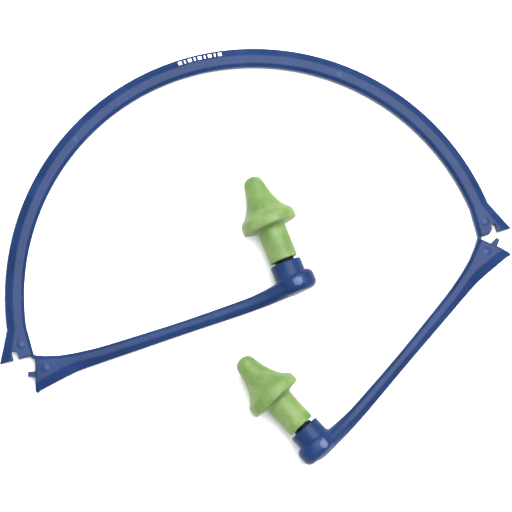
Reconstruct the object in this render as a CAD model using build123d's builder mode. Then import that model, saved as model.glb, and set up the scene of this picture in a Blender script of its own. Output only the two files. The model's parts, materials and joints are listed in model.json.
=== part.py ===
"""Foldable hearing band: a moulded arc with two folding arms, each carrying a foam ear plug.

Frame: millimetres, +Z up. The origin is on the underside of the band at the middle of the crown,
+Y points away from the wearer's head over the crown, and +X runs from the left hinge to the right one.
"""
import os
from collections import namedtuple
from math import asin, cos, degrees, radians, sin

from build123d import *

os.makedirs("parts", exist_ok=True)

# Band section, a flat land between two bevels on each face
THICKNESS = 3.8
BAND_WIDTH = 5.75
OUTER_WALL = 1.4
INNER_WALL = 2.4
OUTER_BEVEL_SHARE = 0.38
INNER_BEVEL_SHARE = 0.18

# Arc of the headband and its flared ends
ARC_OUTER_RADIUS = 75.7
HINGE_HALF_SPAN = 69.3
FLARE_TIP_RADIUS = 79.7
FLARE_START_RISE = 9.7
FLARE_BEVEL = 2.9
END_FACE_SETBACK = 0.35

# Folding arms: a chord runs from the fold line along each
ARM_LIFT = 0.15
ARM_END_FACE_ANGLE = 105.0
ARM_END_FACE_WIDTH = 10.9
# Stations past the flare: distance along the chord, inner edge, outer edge, thickness
ARM_FLARE_END = (7.3, -1.8, -8.5, THICKNESS)
ARM_STATIONS = (
    (19.0, -2.65, -7.25, THICKNESS),
    (45.0, -1.90, -5.80, THICKNESS),
    (66.0, -0.55, -4.80, 4.2),
    (75.0, 1.15, -3.85, 6.4),
    (82.0, 2.15, -2.95, 9.4),
)

# Latch tab on the arm and its slot in the arc
TAB_CENTRE = 5.3
TAB_WIDTH = 1.45
TAB_THICKNESS = 3.0
TAB_ROOT = 2.0
SLOT_CENTRE = 5.4
SLOT_WIDTH = 1.75
SLOT_DEPTH = 2.8
SLOT_CORNER = 0.6
# Ramps on the hinge side of the right latch: width and length
TAB_RAMP = (0.6, 0.9)
SLOT_RAMP = (1.05, 1.1)

# Film hinge: bead on the fold line, clear of the arm
WEB_BEAD_RADIUS = 0.35
WEB_HEIGHT = 2.2
WEB_RELIEF_RADIUS = 0.75

# Boss, collar and socket at the end of an arm
BOSS_BOTTOM = -3.15
BOSS_TOP = 2.9
BOSS_START = 4.1
BOSS_END = 6.75
BOSS_HALF_HEIGHT = 5.3
BOSS_EDGE_ROUND = 2.0
COLLAR_RADIUS = 4.8
COLLAR_MOUTH = 6.7
COLLAR_EDGE_ROUND = 0.4
SOCKET_FLOOR = 0.9

# Plug stem: a plug end in the socket and a thinner spigot in the foam
STEM_RADIUS = 3.0
SPIGOT_RADIUS = 2.0
SPIGOT_TOP = 18.0
STEM_FLOOR_GAP = 0.1
STEM_FOAM_GAP = 0.1
SPIGOT_END_GAP = 0.3
RUNNING_GAP = 0.05

# Foam plug, measured along its axis from the foot of the axis
PLUG_BASE = 7.6
PLUG_TIP = 34.4
PLUG_STALK_RADIUS = 4.35
FLANGE_RADIUS = 8.4
FLANGE_UNDERSIDE = 17.7
FLANGE_LOWER_CORNER = 18.35
FLANGE_UPPER_CORNER = 21.1
FLANGE_UPPER_RADIUS = 8.25
TIP_ROUND = 3.1
TIP_CONE_RADIUS = 4.35
TIP_CONE_FOOT = 26.9

# Round mould marks
MARK_RADIUS = 1.4
MARK_DEPTH = 0.2
ARC_MARK_REACH = 72.3
ARC_MARK_RISE = 4.25
ARM_MARK = (2.2, -4.3)

# The two arms, each drawn left-handed: angle of the chord at rest, foot of the plug's axis along the chord
# and beside it, angle from the chord to the axis, length and corner radius of the latch tab, and whether it
# has a ramp
Arm = namedtuple("Arm", "rest_angle axis_foot axis_shift axis_angle tab_length tab_corner ramp")
LEFT_ARM = Arm(0.4, 79.95, 0.0, 95.9, 2.2, 0.3, False)
RIGHT_ARM = Arm(-36.9, 80.6, 0.7, 100.0, 2.4, 0.6, True)

BAND_INNER_RADIUS = ARC_OUTER_RADIUS - BAND_WIDTH
LAND_RADIUS = (
    ARC_OUTER_RADIUS - OUTER_BEVEL_SHARE * BAND_WIDTH + BAND_INNER_RADIUS + INNER_BEVEL_SHARE * BAND_WIDTH
) / 2
ARC_CENTRE = Vector(0, -LAND_RADIUS, 0)
MID_HEIGHT = THICKNESS / 2
FLARE_START_ANGLE = degrees(asin(FLARE_START_RISE / ARC_OUTER_RADIUS))
LEFT_FOLD_POINT = ARC_CENTRE + Vector(-HINGE_HALF_SPAN, 0, MID_HEIGHT + ARM_LIFT)


def section(inner, outer, thickness, outer_bevel=None):
    """Corners of the band section between its inner and outer edges, with a land between the bevels."""
    width = abs(outer - inner)
    way = 1 if outer > inner else -1
    inner_land = inner + way * INNER_BEVEL_SHARE * width
    outer_land = outer - way * (outer_bevel or OUTER_BEVEL_SHARE * width)
    inner_wall = INNER_WALL * thickness / THICKNESS
    outer_wall = OUTER_WALL * thickness / THICKNESS
    upper = [
        (inner, inner_wall / 2),
        (inner_land, thickness / 2),
        (outer_land, thickness / 2),
        (outer, outer_wall / 2),
    ]
    return upper + [(x, -y) for x, y in reversed(upper)]


def radial_plane(angle):
    """Upright plane through the arc's axis, with its X outward at the given angle."""
    outward = Vector(cos(radians(angle)), sin(radians(angle)), 0)
    origin = ARC_CENTRE + Vector(0, 0, MID_HEIGHT)
    return Plane(origin=origin, x_dir=outward, z_dir=outward.cross(Vector(0, 0, 1)))


def arm_rise(arm):
    """Angle by which an arm rises, so that its foam flange rests on the same surface as the arc."""
    flange_reach = arm.axis_foot + FLANGE_LOWER_CORNER * cos(radians(arm.axis_angle))
    return asin((FLANGE_RADIUS - LEFT_FOLD_POINT.Z) / flange_reach)


def arm_plane(arm):
    """Frame of an arm: origin on the fold line, X along the rising chord, Y to the plug's side."""
    turn, rise = radians(arm.rest_angle), arm_rise(arm)
    along = Vector(cos(turn) * cos(rise), sin(turn) * cos(rise), sin(rise))
    side = Vector(-sin(turn), cos(turn), 0)
    return Plane(origin=LEFT_FOLD_POINT, x_dir=along, z_dir=along.cross(side))


def cross_plane(frame, x):
    """Plane across an arm at a distance along its chord, with its X toward the plug's side."""
    return Plane(origin=frame.from_local_coords(Vector(x, 0, 0)), x_dir=frame.y_dir, z_dir=frame.x_dir)


def end_face_plane(frame):
    """Plane of an arm's slanted end face, with its X pointing from the fold line to the outer corner."""
    slant = -radians(ARM_END_FACE_ANGLE)
    outward = frame.x_dir * cos(slant) + frame.y_dir * sin(slant)
    away = frame.x_dir * -sin(slant) + frame.y_dir * cos(slant)
    return Plane(origin=frame.origin + away * END_FACE_SETBACK, x_dir=outward, z_dir=away)


def plug_plane(arm, height):
    """Plane across the plug's axis at a height above the axis foot, with its X toward the arm's tip."""
    frame, lean = arm_plane(arm), radians(arm.axis_angle)
    axis = frame.x_dir * cos(lean) + frame.y_dir * sin(lean)
    across = frame.x_dir * sin(lean) - frame.y_dir * cos(lean)
    foot = frame.from_local_coords(Vector(arm.axis_foot, arm.axis_shift, 0))
    return Plane(origin=foot + axis * height, x_dir=across, z_dir=axis)


def ramp_outline(ramp, wall, root, way):
    """Triangle on the hinge side of a latch, against its wall and rooted below its foot."""
    width, length = ramp
    return [(wall, root + length), (wall, 0), (wall + way * width, 0), (wall + way * width, root)]


def build_boss(arm):
    """Rounded end of an arm, a pebble whose axis is the plug's axis."""
    half_length = (BOSS_END + BOSS_START) / 2
    with BuildPart() as boss:
        with BuildSketch(plug_plane(arm, BOSS_BOTTOM)):
            with Locations((BOSS_END - half_length, 0)):
                Ellipse(half_length, BOSS_HALF_HEIGHT)
        extrude(amount=BOSS_TOP - BOSS_BOTTOM)
        fillet(boss.edges(), BOSS_EDGE_ROUND)
    return boss.part


def build_collar(arm):
    """Solid collar on the boss, before the socket is bored."""
    mouth_centre = plug_plane(arm, COLLAR_MOUTH).origin
    with BuildPart() as collar:
        with BuildSketch(plug_plane(arm, 0)):
            Circle(COLLAR_RADIUS)
        extrude(amount=COLLAR_MOUTH)
        fillet(collar.edges().filter_by(GeomType.CIRCLE).sort_by_distance(mouth_centre)[0], COLLAR_EDGE_ROUND)
    return collar.part


def build_arm(arm):
    """Arm: flared root with its latch tab and any ramp, tapering beam, boss and collar."""
    frame = arm_plane(arm)
    end_face = end_face_plane(frame)
    with BuildPart() as moulding:
        with BuildSketch(end_face):
            Polygon(*section(0, ARM_END_FACE_WIDTH, THICKNESS, FLARE_BEVEL), align=None)
        with BuildSketch(cross_plane(frame, ARM_FLARE_END[0])):
            Polygon(*section(*ARM_FLARE_END[1:], FLARE_BEVEL), align=None)
        loft(ruled=True)
        with BuildSketch(cross_plane(frame, ARM_FLARE_END[0])):
            Polygon(*section(*ARM_FLARE_END[1:], FLARE_BEVEL), align=None)
        for x, *edges_and_thickness in ARM_STATIONS:
            with BuildSketch(cross_plane(frame, x)):
                Polygon(*section(*edges_and_thickness), align=None)
        loft()
        add(build_boss(arm))

        add(build_collar(arm))
        with BuildSketch(plug_plane(arm, SOCKET_FLOOR)):
            Circle(STEM_RADIUS + RUNNING_GAP)
        extrude(amount=COLLAR_MOUTH, mode=Mode.SUBTRACT)

        # Latch tab, rooted inside the flare and rounded at its free end
        tab_plane = Plane(
            origin=end_face.origin + end_face.x_dir * TAB_CENTRE + end_face.z_dir * TAB_ROOT,
            x_dir=end_face.x_dir,
            z_dir=end_face.y_dir,
        ).offset(-TAB_THICKNESS / 2)
        with BuildSketch(tab_plane):
            with Locations((0, (TAB_ROOT + arm.tab_length) / 2)):
                RectangleRounded(TAB_WIDTH, TAB_ROOT + arm.tab_length, arm.tab_corner)
            if arm.ramp:
                Polygon(*ramp_outline(TAB_RAMP, -TAB_WIDTH / 2, TAB_ROOT, -1), align=None)
        extrude(amount=TAB_THICKNESS)

        # Mould marks on the flare and room for the film on the fold line
        with BuildSketch(frame.offset(MID_HEIGHT - MARK_DEPTH)):
            with Locations(ARM_MARK):
                Circle(MARK_RADIUS)
        extrude(amount=THICKNESS, mode=Mode.SUBTRACT)
        with BuildSketch(Plane.XY.offset(-THICKNESS)):
            with Locations((LEFT_FOLD_POINT.X, LEFT_FOLD_POINT.Y)):
                Circle(WEB_RELIEF_RADIUS)
        extrude(amount=3 * THICKNESS, mode=Mode.SUBTRACT)
    return moulding.part


def build_stem(arm):
    """Plug stem: a plug end for the socket and a spigot for the foam."""
    with BuildPart() as stem:
        with BuildSketch(plug_plane(arm, SOCKET_FLOOR + STEM_FLOOR_GAP)):
            Circle(STEM_RADIUS)
        extrude(amount=PLUG_BASE - STEM_FOAM_GAP - SOCKET_FLOOR - STEM_FLOOR_GAP)
        with BuildSketch(plug_plane(arm, PLUG_BASE - STEM_FOAM_GAP)):
            Circle(SPIGOT_RADIUS)
        extrude(amount=SPIGOT_TOP - PLUG_BASE + STEM_FOAM_GAP)
    return stem.part


def build_plug(arm):
    """Foam plug: a stalk, a flange and a rounded cone, bored for the spigot."""
    across = plug_plane(arm, 0)
    profile_plane = Plane(origin=across.origin, x_dir=across.x_dir, z_dir=across.x_dir.cross(across.z_dir))
    with BuildPart() as plug:
        with BuildSketch(profile_plane):
            with BuildLine():
                outline = Polyline(
                    (0, PLUG_BASE),
                    (PLUG_STALK_RADIUS, PLUG_BASE),
                    (PLUG_STALK_RADIUS, FLANGE_UNDERSIDE),
                    (FLANGE_RADIUS, FLANGE_LOWER_CORNER),
                    (FLANGE_UPPER_RADIUS, FLANGE_UPPER_CORNER),
                )
                cone = Spline(
                    outline @ 1,
                    (TIP_CONE_RADIUS, TIP_CONE_FOOT),
                    (TIP_ROUND, PLUG_TIP - TIP_ROUND),
                    tangents=((-1, 0.5), (0, 1)),
                )
                dome = RadiusArc(cone @ 1, (0, PLUG_TIP), -TIP_ROUND)
                Line(dome @ 1, outline @ 0)
            make_face()
        revolve(axis=Axis(across.origin, across.z_dir))
        with BuildSketch(plug_plane(arm, PLUG_BASE)):
            Circle(SPIGOT_RADIUS + RUNNING_GAP)
        extrude(amount=SPIGOT_TOP + SPIGOT_END_GAP - PLUG_BASE, mode=Mode.SUBTRACT)
    return plug.part


with BuildPart() as headband_arc:
    with BuildSketch(radial_plane(FLARE_START_ANGLE)):
        Polygon(*section(BAND_INNER_RADIUS, ARC_OUTER_RADIUS, THICKNESS), align=None)
    revolve(axis=Axis(ARC_CENTRE, (0, 0, 1)), revolution_arc=180 - 2 * FLARE_START_ANGLE)
    for side in (1, -1):
        end_plane = Plane(
            origin=ARC_CENTRE + Vector(0, END_FACE_SETBACK, MID_HEIGHT),
            x_dir=(side, 0, 0),
            z_dir=(0, -side, 0),
        )
        with BuildSketch(radial_plane(FLARE_START_ANGLE if side > 0 else 180 - FLARE_START_ANGLE)):
            Polygon(*section(BAND_INNER_RADIUS, ARC_OUTER_RADIUS, THICKNESS), align=None)
        with BuildSketch(end_plane):
            Polygon(*section(HINGE_HALF_SPAN, FLARE_TIP_RADIUS, THICKNESS, FLARE_BEVEL), align=None)
        loft(ruled=True)
        slot_foot = ARC_CENTRE + Vector(side * (HINGE_HALF_SPAN + SLOT_CENTRE), 0, -THICKNESS)
        with BuildSketch(Plane(origin=slot_foot)):
            RectangleRounded(SLOT_WIDTH, 2 * (SLOT_DEPTH + END_FACE_SETBACK), SLOT_CORNER)
            if side > 0:
                Polygon(*ramp_outline(SLOT_RAMP, -SLOT_WIDTH / 2, END_FACE_SETBACK, -1), align=None)
        extrude(amount=3 * THICKNESS, mode=Mode.SUBTRACT)
        with BuildSketch(Plane.XY.offset(THICKNESS - MARK_DEPTH)):
            with Locations((side * ARC_MARK_REACH, ARC_CENTRE.Y + ARC_MARK_RISE)):
                Circle(MARK_RADIUS)
        extrude(amount=THICKNESS, mode=Mode.SUBTRACT)
        with BuildSketch(Plane.XY.offset(-THICKNESS)):
            with Locations((-side * LEFT_FOLD_POINT.X, LEFT_FOLD_POINT.Y)):
                Circle(WEB_BEAD_RADIUS + RUNNING_GAP)
        extrude(amount=3 * THICKNESS, mode=Mode.SUBTRACT)
headband_arc.part.label = "headband_arc"
export_step(headband_arc.part, "parts/headband_arc.step")

with BuildPart() as left_hinge_web:
    with BuildSketch(Plane.XY.offset(MID_HEIGHT - WEB_HEIGHT / 2)):
        with Locations((LEFT_FOLD_POINT.X, LEFT_FOLD_POINT.Y)):
            Circle(WEB_BEAD_RADIUS)
    extrude(amount=WEB_HEIGHT)
left_hinge_web.part.label = "left_hinge_web"
export_step(left_hinge_web.part, "parts/left_hinge_web.step")

with BuildPart() as right_hinge_web:
    add(mirror(left_hinge_web.part, about=Plane.YZ))
right_hinge_web.part.label = "right_hinge_web"
export_step(right_hinge_web.part, "parts/right_hinge_web.step")

for name, build in (("arm", build_arm), ("plug_stem", build_stem), ("foam_plug", build_plug)):
    left_piece = build(LEFT_ARM)
    left_piece.label = f"left_{name}"
    export_step(left_piece, f"parts/left_{name}.step")
    right_piece = mirror(build(RIGHT_ARM), about=Plane.YZ)
    right_piece.label = f"right_{name}"
    export_step(right_piece, f"parts/right_{name}.step")
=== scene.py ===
"""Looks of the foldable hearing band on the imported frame: moulded band, film hinges, stems and plugs."""
import json
from math import asin, atan, atan2, cos, pi, radians, sin

import bmesh
import bpy
from mathutils import Matrix, Vector, noise


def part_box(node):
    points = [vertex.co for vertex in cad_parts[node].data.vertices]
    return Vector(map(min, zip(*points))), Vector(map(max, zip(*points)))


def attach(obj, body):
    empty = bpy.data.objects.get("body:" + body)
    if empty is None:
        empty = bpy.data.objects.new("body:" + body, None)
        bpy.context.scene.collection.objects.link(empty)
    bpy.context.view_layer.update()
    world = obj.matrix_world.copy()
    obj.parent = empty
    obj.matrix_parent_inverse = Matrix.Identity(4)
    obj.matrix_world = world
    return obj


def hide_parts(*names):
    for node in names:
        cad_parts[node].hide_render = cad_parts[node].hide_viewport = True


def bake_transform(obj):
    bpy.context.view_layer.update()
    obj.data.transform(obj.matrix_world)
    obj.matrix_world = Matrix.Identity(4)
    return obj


MM = 0.001
UP = Vector((0, 0, 1))
SIDES = ("left", "right")

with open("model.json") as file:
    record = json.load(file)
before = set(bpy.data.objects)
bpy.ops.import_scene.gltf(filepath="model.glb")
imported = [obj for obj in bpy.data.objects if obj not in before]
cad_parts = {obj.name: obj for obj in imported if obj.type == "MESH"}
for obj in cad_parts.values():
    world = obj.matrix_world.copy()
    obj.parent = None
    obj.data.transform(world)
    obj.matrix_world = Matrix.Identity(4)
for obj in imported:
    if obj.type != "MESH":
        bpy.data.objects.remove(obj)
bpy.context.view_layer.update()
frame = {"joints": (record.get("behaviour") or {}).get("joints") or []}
JOINTS = {joint["name"]: joint for joint in frame["joints"]}

# The band's plan, read from the frame
ARC_LOW, ARC_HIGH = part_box("headband_arc")
FOLD = {side: Vector(JOINTS[f"{side}_fold"]["pos_m"]) for side in SIDES}
ARC_CENTRE = Vector((0, FOLD["left"].y, (ARC_LOW.z + ARC_HIGH.z) / 2))
THICKNESS = ARC_HIGH.z - ARC_LOW.z
OUTER_RADIUS = ARC_HIGH.y - ARC_CENTRE.y
FLARE_TIP = ARC_HIGH.x
HINGE_REACH = FOLD["right"].x
END_FACE = ARC_LOW.y

# Band section
BAND_WIDTH = 5.75 * MM
INNER_RADIUS = OUTER_RADIUS - BAND_WIDTH
OUTER_WALL_SHARE = 0.37
INNER_WALL_SHARE = 0.63
OUTER_BEVEL_SHARE = 0.38
INNER_BEVEL_SHARE = 0.18
FLARE_BEVEL = 2.9 * MM
EDGE_ROUND = 0.28 * MM
CORNER_STEPS = 4
SPAN_SHARES = (0.12, 0.37, 0.63, 0.88)

# Flared ends of the arc
FLARE_RISE = 9.7 * MM
FLARE_STEPS = 12
ARC_STEPS = 170

# Latch: a slot in the arc and a tab on the arm. The right latch has a ramp on its hinge side
SLOT_CENTRE = 5.4 * MM
SLOT_WIDTH = 1.7 * MM
SLOT_DEPTH = 2.8 * MM
SLOT_CORNER = 0.7 * MM
TAB_CENTRE = 5.3 * MM
TAB_WIDTH = 1.45 * MM
TAB_LENGTH = {"left": 2.2 * MM, "right": 2.4 * MM}
TAB_ROOT = 2.0 * MM
TAB_THICKNESS = 3.0 * MM
TAB_CORNER = {"left": 0.3 * MM, "right": 0.6 * MM}
# Width and length of the ramps
SLOT_RAMP = (1.05 * MM, 1.1 * MM)
TAB_RAMP = (0.7 * MM, 1.5 * MM)
TAB_RAMP_THICKNESS = 2.8 * MM

# Round mould marks: reach and rise from the arc's centre, place on an arm, and small ones along the arc
MARK_RADIUS = 1.4 * MM
BOSS_MARK_RADIUS = 1.25 * MM
BOSS_MARK_SINK = 0.05 * MM
SMALL_MARK_RADIUS = 0.95 * MM
MARK_DEPTH = 0.14 * MM
ARC_MARK = (72.3 * MM, 4.25 * MM)
ARM_MARK = (2.2 * MM, -4.3 * MM)
BOSS_MARK = {"left": (81.2 * MM, -0.1 * MM), "right": (80.5 * MM, -0.15 * MM)}
SMALL_MARKS = (radians(124.3), radians(54.7))
SMALL_MARK_REACH = 72.3 * MM
SMALL_MARK_SHARE = 0.4
MARK_GROOVE = 0.12 * MM

# Pit beside each film hinge: its place up the flare and outward from the corner of the end face, its size,
# and the radius and height of the top of its cutter
PIT_RISE = 0.8 * MM
PIT_REACH = 0.76 * MM
PIT_RADIUS = 0.2 * MM
PIT_DEPTH = 0.9 * MM
PIT_FLARE = (0.3 * MM, 0.5 * MM)
PIT_SEGMENTS = 24

# Arm, in its own frame: along the chord, to the plug's side, up
END_FACE_ANGLE = radians(105)
END_FACE_WIDTH = 10.9 * MM
END_FACE_SETBACK = 0.35 * MM
END_CORNER = 0.75 * MM
# Distance along the chord, inner edge, outer edge, thickness (mm) and how oval the section is
ARM_STATIONS = (
    (7.3, -1.80, -8.50, 3.8, 0.0),
    (11.7, -2.30, -7.75, 3.8, 0.0),
    (19.0, -2.65, -7.25, 3.8, 0.0),
    (30.0, -2.42, -6.65, 3.8, 0.1),
    (45.0, -1.90, -5.80, 3.8, 0.2),
    (60.0, -0.95, -5.10, 3.9, 0.3),
    (67.0, -0.35, -4.70, 4.4, 0.4),
    (72.0, 0.55, -4.25, 5.7, 0.6),
    (77.0, 1.60, -3.65, 8.0, 0.8),
    (82.0, 2.20, -2.95, 9.8, 0.9),
    (84.5, 1.90, -2.10, 8.2, 1.0),
    (86.0, 1.00, -1.00, 3.4, 1.0),
)
# Foot of the plug's axis along the chord and beside it
AXIS_FOOT = {"left": (79.95 * MM, 0.0), "right": (80.6 * MM, 0.7 * MM)}
ARM_STEP = 0.8 * MM

# Boss at the end of an arm: a pebble about the plug's axis, from its foot
BOSS_BACK = -5.4 * MM
BOSS_FRONT = 6.75 * MM
BOSS_BOTTOM = -3.15 * MM
BOSS_TOP = 2.9 * MM
BOSS_HALF_HEIGHT = 5.3 * MM
BOSS_ROUND = 2.2 * MM
BOSS_STEPS = 8
BOSS_SEGMENTS = 96
# Under 1 makes the half of the boss toward the arm's tip fuller
BOSS_BLUNT = 0.88

# Socket collar, heights along the plug's axis from its foot
COLLAR_RADIUS = 4.8 * MM
COLLAR_MOUTH = 6.7 * MM
COLLAR_ROUND = 0.45 * MM
SOCKET_RADIUS = 3.06 * MM
SOCKET_FLOOR = 0.9 * MM
SOCKET_LIP = 0.25 * MM
COLLAR_STEPS = 5

# Film hinge: the strip's thickness, height and edge radius
WEB_WIDTH = 1.05 * MM
WEB_HEIGHT = 2.5 * MM
WEB_EDGE = 0.22 * MM
WEB_STEPS = 18
# Its path. On the arc: half thicknesses out from the fold line, and height (mm).
# On the arm: distance along it (mm), and half thicknesses below its chord
WEB_ON_ARC = ((1.4, 2.0), (1.05, 0.9), (0.7, 0.15))
WEB_ON_ARM = ((0.5, 0.8), (1.2, 1.3), (2.2, 1.9))

# Foam plug and stem: radius and height (mm) along the axis
PLUG_PROFILE = (
    (0, 34.4), (0.85, 34.3), (1.8, 33.9), (2.55, 33.2), (3.0, 32.3), (3.25, 31.0), (3.65, 29.2),
    (4.3, 27.0), (4.95, 25.5), (5.7, 24.1), (6.5, 23.05), (7.3, 22.3), (7.95, 21.65), (8.25, 21.05),
    (8.35, 20.4), (8.4, 19.5), (8.38, 18.8), (8.2, 18.45), (7.7, 18.25), (6.5, 18.1), (5.3, 17.95),
    (4.7, 17.75), (4.4, 17.4), (4.35, 16.6), (4.35, 14.0), (4.35, 11.0), (4.35, 8.1), (4.25, 7.75),
    (3.95, 7.6), (3.0, 7.6), (2.25, 7.65), (2.06, 7.9), (2.06, 12.0), (2.06, 18.1), (1.8, 18.3), (0, 18.3),
)
STEM_PROFILE = (
    (0, 1.0), (2.7, 1.0), (2.95, 1.2), (3.0, 1.6), (3.0, 5.2), (3.0, 7.2), (2.9, 7.42), (2.6, 7.5),
    (2.1, 7.5), (2.0, 7.65), (2.0, 17.6), (1.9, 17.9), (1.6, 18.0), (0, 18.0),
)
PLUG_SMOOTHING = 4
FOAM_UNEVENNESS = 0.05 * MM
FOAM_WAVE = 3.5 * MM

# Plain printed bars on the outer bevel at the crown, with their widths (mm)
PRINT_START = radians(93.55)
PRINT_BARS = (1.1, 0.45, 1.1, 0.45, 1.1, 0.45, 1.1, 0.45, 1.1)
PRINT_GAP = 0.8 * MM
PRINT_SPAN = (0.2, 0.68)
PRINT_LIFT = 0.02 * MM
PRINT_COLUMNS = 4


def catmull_rom(stations, x):
    """Values at x on a smooth curve through the stations, whose first column is x."""
    last = len(stations) - 2
    i = next((k for k in range(last + 1) if x <= stations[k + 1][0]), last)
    before, a, b, after = (stations[max(0, min(last + 1, k))] for k in (i - 1, i, i + 1, i + 2))
    span = b[0] - a[0]
    t = (x - a[0]) / span
    values = []
    for column in range(1, len(a)):
        slope_a = (b[column] - before[column]) / (b[0] - before[0]) * span
        slope_b = (after[column] - a[column]) / (after[0] - a[0]) * span
        h = 2 * t**3 - 3 * t**2
        value = (h + 1) * a[column] - h * b[column]
        values.append(value + (t**3 - 2 * t**2 + t) * slope_a + (t**3 - t**2) * slope_b)
    return values


def smooth_profile(points, steps):
    """Points of a profile in metres, with a smooth curve of more points between the given ones."""
    stations = [(i, *point) for i, point in enumerate(points)]
    fine = [catmull_rom(stations, i / steps) for i in range((len(points) - 1) * steps + 1)]
    return [(max(0, radius) * MM, height * MM) for radius, height in fine]


def rounded_outline(corners, radius):
    """Closed outline through the corners, each rounded, with a few points along each span."""
    outline = []
    count = len(corners)
    for i, corner in enumerate(corners):
        before, after = corners[i - 1], corners[(i + 1) % count]
        arrive = corner + (before - corner).normalized() * radius
        leave = corner + (after - corner).normalized() * radius
        for step in range(CORNER_STEPS):
            t = step / (CORNER_STEPS - 1)
            outline.append(arrive * (1 - t) ** 2 + corner * (2 * t * (1 - t)) + leave * t**2)
        next_arrive = after + (corner - after).normalized() * radius
        outline.extend(leave.lerp(next_arrive, share) for share in SPAN_SHARES)
    return outline


def band_section(width, thickness, outer_bevel, oval=0.0):
    """Points (across, up) of the section, from the inner edge at 0 to the outer edge at width."""
    inner_land = INNER_BEVEL_SHARE * min(width, BAND_WIDTH)
    upper = [
        Vector((0, INNER_WALL_SHARE * thickness / 2)),
        Vector((inner_land, thickness / 2)),
        Vector((width - outer_bevel, thickness / 2)),
        Vector((width, OUTER_WALL_SHARE * thickness / 2)),
    ]
    corners = upper + [Vector((p.x, -p.y)) for p in reversed(upper)]
    section = rounded_outline(corners, EDGE_ROUND)
    middle = Vector((width / 2, 0))
    for i, point in enumerate(section):
        angle = atan2(point.y / thickness, (point.x - middle.x) / width)
        on_oval = middle + Vector((cos(angle) * width / 2, sin(angle) * thickness / 2))
        section[i] = point.lerp(on_oval, oval)
    return section


def section_ring(inner, outer, thickness, outer_bevel, up=UP, oval=0.0, shrink=0.0, along=Vector()):
    """Ring of points in space for a section drawn between an inner and an outer point."""
    across = outer - inner
    middle = inner.lerp(outer, 0.5)
    ring = []
    for point in band_section(across.length, thickness, outer_bevel, oval):
        place = inner + across.normalized() * point.x + up * point.y
        ring.append(place + (middle - place).normalized() * shrink + along)
    return ring


def mesh_piece(name, vertices, faces):
    """New mesh object with outward faces."""
    mesh = bpy.data.meshes.new(name)
    mesh.from_pydata([tuple(v) for v in vertices], [], faces)
    piece = bpy.data.objects.new(name, mesh)
    bpy.context.scene.collection.objects.link(piece)
    shape = bmesh.new()
    shape.from_mesh(mesh)
    bmesh.ops.recalc_face_normals(shape, faces=shape.faces)
    if shape.calc_volume(signed=True) < 0:
        bmesh.ops.reverse_faces(shape, faces=shape.faces)
    shape.to_mesh(mesh)
    shape.free()
    return piece


def tube_piece(name, rings):
    """Closed tube through rings of equal length, capped at both ends."""
    size = len(rings[0])
    vertices = [point for ring in rings for point in ring]
    faces = [tuple(range(size)), tuple(range(len(vertices) - size, len(vertices)))]
    for r in range(len(rings) - 1):
        for i in range(size):
            j = (i + 1) % size
            faces.append((r * size + i, r * size + j, (r + 1) * size + j, (r + 1) * size + i))
    return mesh_piece(name, vertices, faces)


def lathe_piece(name, profile, origin, axis, segments=96):
    """Solid of revolution from (radius, height) points, the first and last of which lie on the axis."""
    across = axis.orthogonal().normalized()
    side = axis.cross(across)
    vertices = [origin + axis * profile[0][1], origin + axis * profile[-1][1]]
    rings = []
    for radius, height in profile[1:-1]:
        rings.append(len(vertices))
        for i in range(segments):
            turn = 2 * pi * i / segments
            vertices.append(origin + axis * height + (across * cos(turn) + side * sin(turn)) * radius)
    faces = []
    for i in range(segments):
        j = (i + 1) % segments
        faces.append((0, rings[0] + i, rings[0] + j))
        faces.append((1, rings[-1] + j, rings[-1] + i))
        faces.extend((a + i, b + i, b + j, a + j) for a, b in zip(rings, rings[1:]))
    return mesh_piece(name, vertices, faces)


def carve(piece, tool, operation="DIFFERENCE"):
    """Cuts the tool's shape out of the piece, or joins it on, and removes the tool."""
    change = piece.modifiers.new("carve", "BOOLEAN")
    change.operation = operation
    change.object = tool
    change.solver = "EXACT"
    result = bpy.data.meshes.new_from_object(piece.evaluated_get(bpy.context.evaluated_depsgraph_get()))
    piece.modifiers.clear()
    piece.data = result
    bpy.data.objects.remove(tool)


def rounded_post(origin, x_dir, y_dir, z_dir, size, corner, steps=6):
    """Post with rounded corners, of the given size across, along and up, centred on the origin."""
    half = Vector((size[0] / 2 - corner, size[1] / 2 - corner))
    outline = []
    for quarter, (sx, sy) in enumerate(((1, 1), (-1, 1), (-1, -1), (1, -1))):
        for step in range(steps):
            turn = (quarter + step / (steps - 1)) * pi / 2
            outline.append(Vector((sx * half.x + corner * cos(turn), sy * half.y + corner * sin(turn))))
    rings = []
    for z in (-size[2] / 2, size[2] / 2):
        rings.append([origin + x_dir * p.x + y_dir * p.y + z_dir * z for p in outline])
    return tube_piece("tool", rings)


def latch_ramp(ramp, foot, hinge_dir, out_dir, up, wall, height):
    """Wedge on the hinge side of a latch, from its wall and rooted behind its foot."""
    width, length = ramp
    corners = ((wall, length), (wall + width, 0), (wall + width, -TAB_ROOT / 2),
               (wall - TAB_WIDTH / 3, -TAB_ROOT / 2), (wall - TAB_WIDTH / 3, length))
    rings = []
    for z in (-height / 2, height / 2):
        rings.append([foot + hinge_dir * x + out_dir * y + up * z for x, y in corners])
    return tube_piece("tool", rings)


def mark_cutter(origin, up, radius, depth=MARK_DEPTH):
    """Cutter for a round mark: a shallow dish inside a fine groove."""
    dish = (radius - 2 * MARK_GROOVE, -depth * 0.45)
    groove = [(radius - MARK_GROOVE, -depth), (radius, -depth), (radius + MARK_GROOVE, depth)]
    profile = [(0, dish[1]), dish, *groove, (0, depth)]
    return lathe_piece("tool", profile, origin, up, 64)


def soften(piece, angle=38):
    """Smooth shading that keeps edges sharper than the angle."""
    piece.data.shade_smooth()
    piece.data.set_sharp_from_angle(angle=radians(angle))


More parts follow.
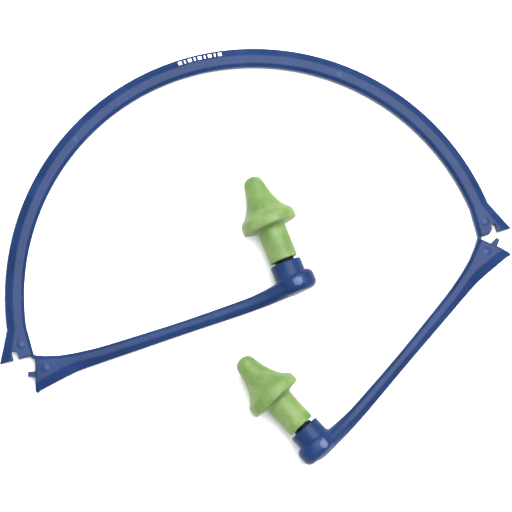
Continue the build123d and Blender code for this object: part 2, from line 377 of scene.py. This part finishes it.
def arc_point(radius, angle, height=0.0):
    """Point on a circle round the arc's centre, at a height over the middle of the band."""
    return ARC_CENTRE + Vector((cos(angle) * radius, sin(angle) * radius, height))


def flare_start():
    """Angle at which the arc ends and a flare starts."""
    return asin(FLARE_RISE / OUTER_RADIUS)


def flare_edges(side, share):
    """Inner and outer edge points of the arc's flare, from its start at 0 to the end face at 1."""
    start = flare_start()
    way = 1 if side == "right" else -1
    end_y = END_FACE - ARC_CENTRE.y
    inner = Vector((cos(start) * INNER_RADIUS, sin(start) * INNER_RADIUS))
    inner = inner.lerp(Vector((HINGE_REACH, end_y)), share)
    outer = Vector((cos(start) * OUTER_RADIUS, FLARE_RISE)).lerp(Vector((FLARE_TIP, end_y)), share)
    return tuple(ARC_CENTRE + Vector((way * p.x, p.y, 0)) for p in (inner, outer))


def flare_rings(side):
    """Rings from the end face to the start of the flare, with the end's edges rounded."""
    rings = []
    inner, outer = flare_edges(side, 1)
    for shrink, step_in in ((EDGE_ROUND, 0), (EDGE_ROUND * 0.3, EDGE_ROUND * 0.3), (0, EDGE_ROUND)):
        rings.append(section_ring(inner, outer, THICKNESS, FLARE_BEVEL, shrink=shrink,
                                  along=Vector((0, step_in, 0))))
    for step in range(1, FLARE_STEPS):
        share = 1 - step / FLARE_STEPS
        inner, outer = flare_edges(side, share)
        bevel = OUTER_BEVEL_SHARE * BAND_WIDTH * (1 - share) + FLARE_BEVEL * share
        rings.append(section_ring(inner, outer, THICKNESS, bevel))
    return rings


def make_headband():
    """Arc of the band with its flared ends, latch slots and mould marks."""
    start = flare_start()
    rings = flare_rings("right")
    for step in range(ARC_STEPS + 1):
        angle = start + (pi - 2 * start) * step / ARC_STEPS
        rings.append(section_ring(arc_point(INNER_RADIUS, angle), arc_point(OUTER_RADIUS, angle),
                                  THICKNESS, OUTER_BEVEL_SHARE * BAND_WIDTH))
    rings.extend(reversed(flare_rings("left")))
    piece = tube_piece("headband_moulding", rings)
    top = UP * THICKNESS / 2
    rise = Vector((0, 1, 0))
    for side in SIDES:
        hinge_dir = Vector((1 if side == "left" else -1, 0, 0))
        corner = Vector((FOLD[side].x, END_FACE, ARC_CENTRE.z))
        mouth = corner - hinge_dir * SLOT_CENTRE
        size = (SLOT_WIDTH, 2 * SLOT_DEPTH, 2 * THICKNESS)
        carve(piece, rounded_post(mouth, Vector((1, 0, 0)), rise, UP, size, SLOT_CORNER))
        if side == "right":
            carve(piece, latch_ramp(SLOT_RAMP, mouth, hinge_dir, rise, UP, SLOT_WIDTH / 2, 2 * THICKNESS))
        centre = ARC_CENTRE + top + Vector((-hinge_dir.x * ARC_MARK[0], ARC_MARK[1], 0))
        carve(piece, mark_cutter(centre, UP, MARK_RADIUS))
        pit = corner + top + rise * PIT_RISE - hinge_dir * PIT_REACH
        profile = [(0, -PIT_DEPTH), (PIT_RADIUS, -PIT_DEPTH), PIT_FLARE, (0, PIT_FLARE[1])]
        carve(piece, lathe_piece("tool", profile, pit, UP, PIT_SEGMENTS))
    for angle in SMALL_MARKS:
        centre = arc_point(SMALL_MARK_REACH, angle, THICKNESS / 2)
        carve(piece, mark_cutter(centre, UP, SMALL_MARK_RADIUS, MARK_DEPTH * SMALL_MARK_SHARE))
    return piece


def arm_axes(side):
    """Origin and unit vectors of an arm: along its chord, to the plug's side, and up."""
    turn = JOINTS[f"{side}_stem_turn"]
    to_foot = (Vector(turn["pos_m"]) - FOLD[side]).normalized()
    beside = Vector(turn["axis"])
    beside = (beside - to_foot * beside.dot(to_foot)).normalized()
    offset = atan2(AXIS_FOOT[side][1], AXIS_FOOT[side][0])
    along = to_foot * cos(offset) - beside * sin(offset)
    plug_side = to_foot * sin(offset) + beside * cos(offset)
    up = along.cross(plug_side)
    return FOLD[side], along, plug_side, up if up.z > 0 else -up


def arm_point(axes, x, y, z=0.0):
    """Point in space from an arm's own coordinates."""
    origin, along, plug_side, up = axes
    return origin + along * x + plug_side * y + up * z


def plug_axis(side):
    """Foot and direction of the axis that the collar, stem and plug share."""
    turn = JOINTS[f"{side}_stem_turn"]
    return Vector(turn["pos_m"]), Vector(turn["axis"]).normalized()


def end_face_dirs(axes):
    """Directions along an arm's slanted end face, outward from the fold line, and into the arm."""
    _, along, plug_side, _ = axes
    return (along * cos(END_FACE_ANGLE) - plug_side * sin(END_FACE_ANGLE),
            along * sin(END_FACE_ANGLE) + plug_side * cos(END_FACE_ANGLE))


def arm_root_rings(axes):
    """Rings of the flared root, from the slanted end face with rounded edges to the first station."""
    origin, up = axes[0], axes[3]
    face_dir, away = end_face_dirs(axes)
    inner_end = origin + away * END_FACE_SETBACK
    outer_end = inner_end + face_dir * END_FACE_WIDTH
    x, inner_y, outer_y = (value * MM for value in ARM_STATIONS[0][:3])
    inner_start, outer_start = arm_point(axes, x, inner_y), arm_point(axes, x, outer_y)
    rings = []
    for shrink, step_in, cut in ((EDGE_ROUND, 0, 1), (EDGE_ROUND * 0.3, EDGE_ROUND * 0.3, 0.5),
                                 (0, EDGE_ROUND, 0.22)):
        corner = outer_end - face_dir * END_CORNER * cut
        rings.append(section_ring(inner_end, corner, THICKNESS, FLARE_BEVEL, up, shrink=shrink,
                                  along=away * step_in))
    rings.append(section_ring(inner_end, outer_end, THICKNESS, FLARE_BEVEL, up, along=away * END_CORNER))
    for step in range(2, FLARE_STEPS):
        share = step / FLARE_STEPS
        rings.append(section_ring(inner_end.lerp(inner_start, share), outer_end.lerp(outer_start, share),
                                  THICKNESS, FLARE_BEVEL, up))
    return rings


def arm_beam_rings(axes):
    """Rings of the tapering beam, which ends inside the boss."""
    up = axes[3]
    first, last = ARM_STATIONS[0][0] * MM, ARM_STATIONS[-1][0] * MM
    steps = round((last - first) / ARM_STEP)
    rings = []
    for step in range(steps + 1):
        x = first + (last - first) * step / steps
        inner_y, outer_y, thickness, oval = catmull_rom(ARM_STATIONS, x / MM)
        width = (inner_y - outer_y) * MM
        settle = min(1, (x - first) / (12 * MM))
        bevel = FLARE_BEVEL * (1 - settle) + OUTER_BEVEL_SHARE * width * settle
        rings.append(section_ring(arm_point(axes, x, inner_y * MM), arm_point(axes, x, outer_y * MM),
                                  thickness * MM, bevel, up, oval))
    return rings


def make_boss(side, axes):
    """Pebble at the end of an arm, as a stack of blunt ovals along the plug's axis."""
    foot, axis = plug_axis(side)
    up = axes[3]
    across = axis.cross(up).normalized()
    across = across if across.dot(axes[1]) > 0 else -across
    middle, half_length = (BOSS_BACK + BOSS_FRONT) / 2, (BOSS_FRONT - BOSS_BACK) / 2
    levels = []
    for step in range(BOSS_STEPS + 1):
        turn = pi / 2 * step / BOSS_STEPS
        levels.append((BOSS_BOTTOM + BOSS_ROUND * (1 - sin(turn)), BOSS_ROUND * (1 - cos(turn))))
    levels.reverse()
    levels += [(BOSS_TOP + BOSS_BOTTOM - height, inset) for height, inset in reversed(levels)]
    rings = []
    for height, inset in levels:
        ring = []
        for i in range(BOSS_SEGMENTS):
            turn = 2 * pi * i / BOSS_SEGMENTS
            blunt = BOSS_BLUNT if cos(turn) > 0 else 1
            x = abs(cos(turn)) ** blunt * (half_length - inset) * (1 if cos(turn) > 0 else -1)
            place = foot + axis * height + across * (middle + x)
            ring.append(place + up * sin(turn) * (BOSS_HALF_HEIGHT - inset))
        rings.append(ring)
    return tube_piece("tool", rings)


def make_arm(side):
    """Side arm: flared root with its latch tab, beam, boss and socket collar."""
    axes = arm_axes(side)
    origin, _, _, up = axes
    piece = tube_piece(f"{side}_arm_moulding", arm_root_rings(axes) + arm_beam_rings(axes))
    foot, axis = plug_axis(side)
    carve(piece, make_boss(side, axes), "UNION")
    collar = [(0, 0), (COLLAR_RADIUS, 0), (COLLAR_RADIUS, COLLAR_MOUTH - COLLAR_ROUND)]
    for step in range(1, COLLAR_STEPS + 1):
        turn = pi / 2 * step / COLLAR_STEPS
        collar.append((COLLAR_RADIUS - COLLAR_ROUND * (1 - cos(turn)),
                       COLLAR_MOUTH - COLLAR_ROUND * (1 - sin(turn))))
    carve(piece, lathe_piece("tool", collar + [(0, COLLAR_MOUTH)], foot, axis), "UNION")
    bore = [(0, SOCKET_FLOOR), (SOCKET_RADIUS, SOCKET_FLOOR), (SOCKET_RADIUS, COLLAR_MOUTH - SOCKET_LIP),
            (SOCKET_RADIUS + 2 * SOCKET_LIP, COLLAR_MOUTH + SOCKET_LIP), (0, COLLAR_MOUTH + SOCKET_LIP)]
    carve(piece, lathe_piece("tool", bore, foot, axis))
    face_dir, away = end_face_dirs(axes)
    length = TAB_LENGTH[side]
    tab_foot = origin + away * END_FACE_SETBACK + face_dir * TAB_CENTRE
    size = (TAB_WIDTH, TAB_ROOT + length, TAB_THICKNESS)
    carve(piece, rounded_post(tab_foot + away * (TAB_ROOT - length) / 2, face_dir, away, up, size,
                              TAB_CORNER[side]), "UNION")
    if side == "right":
        ramp = latch_ramp(TAB_RAMP, tab_foot, -face_dir, -away, up, TAB_WIDTH / 2, TAB_RAMP_THICKNESS)
        carve(piece, ramp, "UNION")
    carve(piece, mark_cutter(arm_point(axes, *ARM_MARK, THICKNESS / 2), up, MARK_RADIUS))
    boss_mark = arm_point(axes, *BOSS_MARK[side], BOSS_HALF_HEIGHT - BOSS_MARK_SINK)
    carve(piece, mark_cutter(boss_mark, up, BOSS_MARK_RADIUS))
    return piece


def make_web(side):
    """Film hinge: an upright strip that carries the band's inner edge on from the arc to the arm."""
    axes = arm_axes(side)
    inward = Vector((1 if side == "left" else -1, 0, 0))
    corner = Vector((FOLD[side].x, ARC_CENTRE.y, ARC_CENTRE.z))
    half = WEB_WIDTH / 2
    path = [corner - inward * half * out + Vector((0, rise * MM, 0)) for out, rise in WEB_ON_ARC]
    path += [arm_point(axes, reach * MM, -half * down) for reach, down in WEB_ON_ARM]
    stations = [(i, *point) for i, point in enumerate(path)]
    line = [Vector(catmull_rom(stations, (len(path) - 1) * i / WEB_STEPS)) for i in range(WEB_STEPS + 1)]
    tall = WEB_HEIGHT / 2
    corners = [Vector((-half, -tall)), Vector((half, -tall)), Vector((half, tall)), Vector((-half, tall))]
    outline = rounded_outline(corners, WEB_EDGE)
    rings = []
    for i, place in enumerate(line):
        forward = (line[min(i + 1, WEB_STEPS)] - line[max(i - 1, 0)]).normalized()
        aside = forward.cross(UP).normalized()
        rings.append([place + aside * p.x + UP * p.y for p in outline])
    piece = tube_piece(f"{side}_film_hinge", rings)
    return piece, path[1], path[4]


def make_plug(side):
    """Foam plug: stalk, flange and rounded cone, slightly uneven as foam is."""
    foot, axis = plug_axis(side)
    piece = lathe_piece(f"{side}_plug_foam", smooth_profile(PLUG_PROFILE, PLUG_SMOOTHING), foot, axis, 128)
    seed = Vector((3.1, 1.7, 0.4)) * (SIDES.index(side) + 1)
    for vertex in piece.data.vertices:
        vertex.co += vertex.normal * noise.noise(vertex.co / FOAM_WAVE + seed) * FOAM_UNEVENNESS
    return piece


def make_print():
    """Plain printed bars on the outer bevel, as thin plates that follow it."""
    inner = Vector((OUTER_RADIUS - OUTER_BEVEL_SHARE * BAND_WIDTH, THICKNESS / 2))
    outer = Vector((OUTER_RADIUS, OUTER_WALL_SHARE * THICKNESS / 2))
    normal = Vector((inner.y - outer.y, outer.x - inner.x)).normalized()
    vertices, faces = [], []
    angle = PRINT_START
    for width in PRINT_BARS:
        sweep = width * MM / OUTER_RADIUS
        first = len(vertices)
        for lift in (-PRINT_LIFT, PRINT_LIFT):
            for column in range(PRINT_COLUMNS + 1):
                for share in PRINT_SPAN:
                    place = inner.lerp(outer, share) + normal * lift
                    vertices.append(arc_point(place.x, angle - sweep * column / PRINT_COLUMNS, place.y))
        layer = 2 * (PRINT_COLUMNS + 1)
        for column in range(PRINT_COLUMNS):
            a = first + 2 * column
            faces.append((a, a + 1, a + 3, a + 2))
            faces.append((a + layer, a + layer + 2, a + layer + 3, a + layer + 1))
            faces.append((a, a + 2, a + layer + 2, a + layer))
            faces.append((a + 1, a + layer + 1, a + layer + 3, a + 3))
        faces.append((first, first + layer, first + layer + 1, first + 1))
        last = first + 2 * PRINT_COLUMNS
        faces.append((last, last + 1, last + layer + 1, last + layer))
        angle -= sweep + PRINT_GAP / OUTER_RADIUS
    return mesh_piece("printed_bars", vertices, faces)


class Surface:
    """Procedural material whose colour, roughness and bump come from nodes."""

    def __init__(self, name, **shader_values):
        self.material = bpy.data.materials.new(name)
        self.material.use_nodes = True
        self.tree = self.material.node_tree
        self.shader = self.tree.nodes["Principled BSDF"]
        for socket, value in shader_values.items():
            self.shader.inputs[socket.replace("_", " ")].default_value = value
        self.place = self.node("ShaderNodeTexCoord").outputs["Object"]

    def node(self, kind, links=None, **settings):
        """New node with its settings, input values and links."""
        made = self.tree.nodes.new(kind)
        for key, value in settings.items():
            setattr(made, key, value)
        for key, value in (links or {}).items():
            if isinstance(value, bpy.types.NodeSocket):
                self.tree.links.new(value, made.inputs[key])
            else:
                made.inputs[key].default_value = value
        return made

    def noise(self, size, detail=4.0, stretch=None):
        """Noise whose features have a size in metres, stretched along an axis if asked."""
        place = self.place
        if stretch:
            place = self.node("ShaderNodeMapping", {"Vector": place, "Scale": stretch}).outputs["Vector"]
        links = {"Vector": place, "Scale": 1 / size, "Detail": detail, "Roughness": 0.6}
        made = self.node("ShaderNodeTexNoise", links)
        return made.outputs["Factor" if "Factor" in made.outputs else 0]

    def cells(self, size):
        """Distance to the nearest of scattered points that lie about a size apart."""
        links = {"Vector": self.place, "Scale": 1 / size}
        return self.node("ShaderNodeTexVoronoi", links).outputs["Distance"]

    def ramp(self, factor, *stops):
        """Colour from a factor, through (position, colour) stops."""
        made = self.node("ShaderNodeValToRGB", {"Fac": factor})
        elements = made.color_ramp.elements
        while len(elements) < len(stops):
            elements.new(0.5)
        for element, (position, colour) in zip(elements, stops):
            element.position = position
            element.color = (*colour, 1)
        return made.outputs["Color"]

    def mix(self, factor, first, second):
        """Blend of two colours by a factor."""
        made = self.node("ShaderNodeMix", data_type="RGBA")
        sockets = [s for s in made.inputs if s.type == "RGBA"]
        factors = [s for s in made.inputs if s.type == "VALUE"]
        for socket, value in zip([factors[0], *sockets], (factor, first, second)):
            if isinstance(value, bpy.types.NodeSocket):
                self.tree.links.new(value, socket)
            else:
                socket.default_value = (*value, 1) if isinstance(value, tuple) else value
        return next(s for s in made.outputs if s.type == "RGBA")

    def math(self, operation, first, second=0.0):
        """Result of a sum on two values."""
        return self.node("ShaderNodeMath", {0: first, 1: second}, operation=operation).outputs[0]

    def spread(self, factor, low, high):
        """Value from low to high as the factor goes from 0.25 to 0.75."""
        links = {"Value": factor, "From Min": 0.25, "From Max": 0.75, "To Min": low, "To Max": high}
        return self.node("ShaderNodeMapRange", links).outputs["Result"]

    def edges(self, radius):
        """Near 1 on convex and concave edges, and 0 on flat faces."""
        rounded = self.node("ShaderNodeBevel", {"Radius": radius}, samples=6).outputs["Normal"]
        true = self.node("ShaderNodeNewGeometry").outputs["Normal"]
        compared = self.node("ShaderNodeVectorMath", {0: rounded, 1: true}, operation="DOT_PRODUCT")
        same = compared.outputs["Value"]
        links = {"Value": same, "From Min": 0.995, "From Max": 0.8}
        return self.node("ShaderNodeMapRange", links).outputs["Result"]

    def finish(self, colour, roughness, *bumps):
        """Plugs in the colour, the roughness and (height, depth in metres, strength) bumps."""
        self.tree.links.new(colour, self.shader.inputs["Base Color"])
        self.tree.links.new(roughness, self.shader.inputs["Roughness"])
        normal = None
        for height, depth, strength in bumps:
            links = {"Height": height, "Distance": depth, "Strength": strength}
            if normal:
                links["Normal"] = normal
            normal = self.node("ShaderNodeBump", links).outputs["Normal"]
        self.tree.links.new(normal, self.shader.inputs["Normal"])
        return self.material


def moulded_plastic(name, dark, middle, light, edge, rough):
    """Moulded polypropylene: cloudy colour, a patchy painted highlight on its edges, fine orange peel and
    hair scratches.
    """
    made = Surface(name, Specular_IOR_Level=BAND_GLOSS)
    cloud, grain = made.noise(9 * MM), made.noise(0.5 * MM, 6)
    colour = made.ramp(cloud, (0.3, dark), (0.52, middle), (0.75, light))
    colour = made.mix(made.spread(grain, 0.0, 0.28), colour, light)
    # Pale, patchy painted highlight along convex and concave edges
    edge_highlight = made.math("MULTIPLY", made.edges(0.22 * MM), made.spread(made.noise(1.6 * MM), 0.1, 0.7))
    colour = made.mix(edge_highlight, colour, edge)
    scratches = made.noise(0.25 * MM, 3, (0.12, 1, 1))
    roughness = made.math("ADD", made.spread(grain, rough - 0.05, rough + 0.05),
                          made.spread(cloud, -0.03, 0.04))
    return made.finish(colour, roughness, (grain, 0.02 * MM, 0.35), (scratches, 0.01 * MM, 0.25),
                       (made.noise(3 * MM, 2), 0.05 * MM, 0.3))


def soft_foam(name):
    """Soft foam: fine open pores with painted shade in them, mottled green, and greyer along its edges and
    in its creases.
    """
    made = Surface(name, Specular_IOR_Level=0.35, Subsurface_Weight=0.5, Subsurface_Scale=2 * MM,
                   Subsurface_Radius=(0.8, 1.0, 0.5))
    cloud, pores = made.noise(4.5 * MM, 5), made.cells(0.3 * MM)
    colour = made.ramp(cloud, (0.3, FOAM_DARK), (0.5, FOAM_MIDDLE), (0.72, FOAM_LIGHT))
    colour = made.mix(made.spread(made.noise(0.35 * MM, 5), 0.0, 0.35), colour, FOAM_LIGHT)
    # Painted shade in the pores: darker specks where the pores lie
    pore_shade = made.node("ShaderNodeMapRange", {"Value": pores, "From Min": 0.0, "From Max": 0.35,
                                              "To Min": 0.45, "To Max": 0.0}).outputs["Result"]
    colour = made.mix(pore_shade, colour, FOAM_DARK)
    colour = made.mix(made.math("MULTIPLY", made.edges(0.5 * MM), 0.6), colour, FOAM_EDGE)
    roughness = made.spread(cloud, 0.5, 0.66)
    return made.finish(colour, roughness, (pores, 0.05 * MM, 0.5), (made.noise(0.8 * MM, 5), 0.08 * MM, 0.5))


def stem_rubber(name):
    """Black rubber: dusty grain, greyer along its edges."""
    made = Surface(name, Specular_IOR_Level=0.05)
    dust, grain = made.noise(2 * MM, 5), made.noise(0.3 * MM, 4)
    colour = made.ramp(dust, (0.35, (0.0015, 0.002, 0.002)), (0.7, (0.006, 0.007, 0.007)))
    colour = made.mix(made.math("MULTIPLY", made.edges(0.2 * MM), 0.5), colour, (0.015, 0.016, 0.016))
    return made.finish(colour, made.spread(dust, 0.42, 0.62), (grain, 0.02 * MM, 0.4))


def pad_print(name):
    """White pad print: thin in places, so that the plastic shows through."""
    made = Surface(name, Specular_IOR_Level=0.3)
    thin, grain = made.noise(0.7 * MM, 5), made.noise(0.2 * MM, 3)
    colour = made.ramp(thin, (0.25, (0.42, 0.47, 0.62)), (0.4, (0.8, 0.83, 0.9)), (0.8, (0.93, 0.94, 0.96)))
    return made.finish(colour, made.spread(grain, 0.4, 0.6), (grain, 0.01 * MM, 0.4))


BAND_GLOSS = 0.09
# Dark, middle, light and edge colours, the last a painted highlight along the edges
BAND_TONES = (
    (0.0034, 0.0127, 0.048), (0.0050, 0.0172, 0.062), (0.0090, 0.0232, 0.078), (0.027, 0.051, 0.125),
)
MARK_TONES = (
    (0.0065, 0.0175, 0.060), (0.0090, 0.0225, 0.075), (0.0140, 0.0300, 0.092), (0.040, 0.064, 0.145),
)
# The boss mark is a real mould mark, but its much lighter tones are a painted highlight on the boss's
# rounded top
BOSS_MARK_HIGHLIGHT_TONES = (
    (0.036, 0.053, 0.120), (0.050, 0.070, 0.145), (0.066, 0.088, 0.170), (0.085, 0.110, 0.190),
)
FOAM_DARK = (0.045, 0.108, 0.014)
FOAM_MIDDLE = (0.078, 0.142, 0.030)
FOAM_LIGHT = (0.126, 0.182, 0.060)
FOAM_EDGE = (0.060, 0.104, 0.038)

band_material = moulded_plastic("blue_polypropylene", *BAND_TONES, 0.4)
mark_material = moulded_plastic("blue_polypropylene_mark", *MARK_TONES, 0.32)
boss_mark_highlight_material = moulded_plastic("blue_polypropylene_boss_mark_highlight", *BOSS_MARK_HIGHLIGHT_TONES, 0.3)
foam_material = soft_foam("green_foam")
rubber_material = stem_rubber("black_rubber")
print_material = pad_print("white_print")


def dress(piece, *materials):
    """Gives the piece only these materials."""
    piece.data.materials.clear()
    for material in materials:
        piece.data.materials.append(material)


def tint_marks(piece, marks, up):
    """Gives the faces inside round marks their own material, from (centre, radius, material slot)."""
    for face in piece.data.polygons:
        face.material_index = 0
        for centre, radius, index in marks:
            away = face.center - centre
            height = away.dot(up)
            near = abs(height) < 3 * MARK_DEPTH and (away - up * height).length < radius
            if near and face.normal.dot(up) > 0.2:
                face.material_index = index


headband = make_headband()
soften(headband)
dress(headband, band_material, mark_material)
top = Vector((0, 0, THICKNESS / 2))
arc_marks = [(ARC_CENTRE + top + Vector((way * ARC_MARK[0], ARC_MARK[1], 0)), MARK_RADIUS, 1)
             for way in (-1, 1)]
arc_marks += [(arc_point(SMALL_MARK_REACH, angle, THICKNESS / 2), SMALL_MARK_RADIUS, 1)
              for angle in SMALL_MARKS]
tint_marks(headband, arc_marks, UP)
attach(headband, "headband")
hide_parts("headband_arc")

printed = make_print()
dress(printed, print_material)
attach(printed, "headband")

for side in SIDES:
    axes = arm_axes(side)
    arm = make_arm(side)
    soften(arm)
    dress(arm, band_material, mark_material, boss_mark_highlight_material)
    # Marks get their own materials; the boss mark's colour is a painted highlight
    tint_marks(arm, [(arm_point(axes, *ARM_MARK, THICKNESS / 2), MARK_RADIUS, 1),
                     (arm_point(axes, *BOSS_MARK[side], BOSS_HALF_HEIGHT), BOSS_MARK_RADIUS, 2)], axes[3])
    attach(arm, f"{side}_arm")
    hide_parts(f"{side}_arm")
    web, start, end = make_web(side)
    soften(web, 50)
    dress(web, band_material)
    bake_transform(web)
    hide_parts(f"{side}_hinge_web")
    stem = lathe_piece(f"{side}_stem_rubber", smooth_profile(STEM_PROFILE, 2), *plug_axis(side))
    soften(stem, 50)
    dress(stem, rubber_material)
    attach(stem, f"{side}_stem")
    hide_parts(f"{side}_plug_stem")
    plug = make_plug(side)
    soften(plug, 60)
    dress(plug, foam_material)
    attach(plug, f"{side}_plug")
    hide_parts(f"{side}_foam_plug")

# Camera: high over the band, far away, and turned so that the band lies askew
CAMERA_AZIMUTH = radians(-49.3)
CAMERA_ELEVATION = radians(80.4)
CAMERA_ROLL = radians(34.1)
CAMERA_DISTANCE = 0.9
VIEW_WIDTH = 0.1536
TARGET = ARC_CENTRE + Vector((2.6, 12.1, 0)) * MM

camera = bpy.data.objects.new("camera", bpy.data.cameras.new("camera"))
bpy.context.scene.collection.objects.link(camera)
bpy.context.scene.camera = camera
back = Vector((sin(CAMERA_AZIMUTH) * cos(CAMERA_ELEVATION), -cos(CAMERA_AZIMUTH) * cos(CAMERA_ELEVATION),
               sin(CAMERA_ELEVATION)))
level = Vector((cos(CAMERA_AZIMUTH), sin(CAMERA_AZIMUTH), 0))
upright = back.cross(level)
right = level * cos(CAMERA_ROLL) + upright * sin(CAMERA_ROLL)
camera.matrix_world = Matrix.LocRotScale(
    TARGET + back * CAMERA_DISTANCE,
    Matrix((right, back.cross(right), back)).transposed().to_quaternion(),
    None,
)
camera.data.angle = 2 * atan(VIEW_WIDTH / 2 / CAMERA_DISTANCE)
camera.data.clip_start = 0.01

# Studio: pale floor, even white surroundings and one wide soft lamp overhead
WORLD_STRENGTH = 1.0
LAMP_SIZE = 0.9
LAMP_POWER = 30
LAMP_REACH = 1.0
LAMP_LEAN = Vector((0.22, 0.18, 1)).normalized()
FLOOR_HALF = 2
PAPER_TONE = 0.9
PAPER_ROUGHNESS = 0.9

floor_corners = [(FLOOR_HALF * x, FLOOR_HALF * y, 0) for x, y in ((-1, -1), (1, -1), (1, 1), (-1, 1))]
floor = mesh_piece("floor", floor_corners, [(0, 1, 2, 3)])
paper = bpy.data.materials.new("paper")
paper.use_nodes = True
paper.node_tree.nodes["Principled BSDF"].inputs["Base Color"].default_value = (*[PAPER_TONE] * 3, 1)
paper.node_tree.nodes["Principled BSDF"].inputs["Roughness"].default_value = PAPER_ROUGHNESS
dress(floor, paper)
world = bpy.data.worlds.new("studio")
bpy.context.scene.world = world
world.use_nodes = True
world.node_tree.nodes["Background"].inputs["Color"].default_value = (1, 1, 1, 1)
world.node_tree.nodes["Background"].inputs["Strength"].default_value = WORLD_STRENGTH
lamp = bpy.data.objects.new("softbox", bpy.data.lights.new("softbox", "AREA"))
lamp.data.shape = "DISK"
lamp.data.energy = LAMP_POWER
lamp.data.size = LAMP_SIZE
lamp.location = TARGET + LAMP_LEAN * LAMP_REACH
lamp.rotation_euler = LAMP_LEAN.to_track_quat("Z", "Y").to_euler()
bpy.context.scene.collection.objects.link(lamp)
bpy.context.scene.view_settings.view_transform = "Standard"
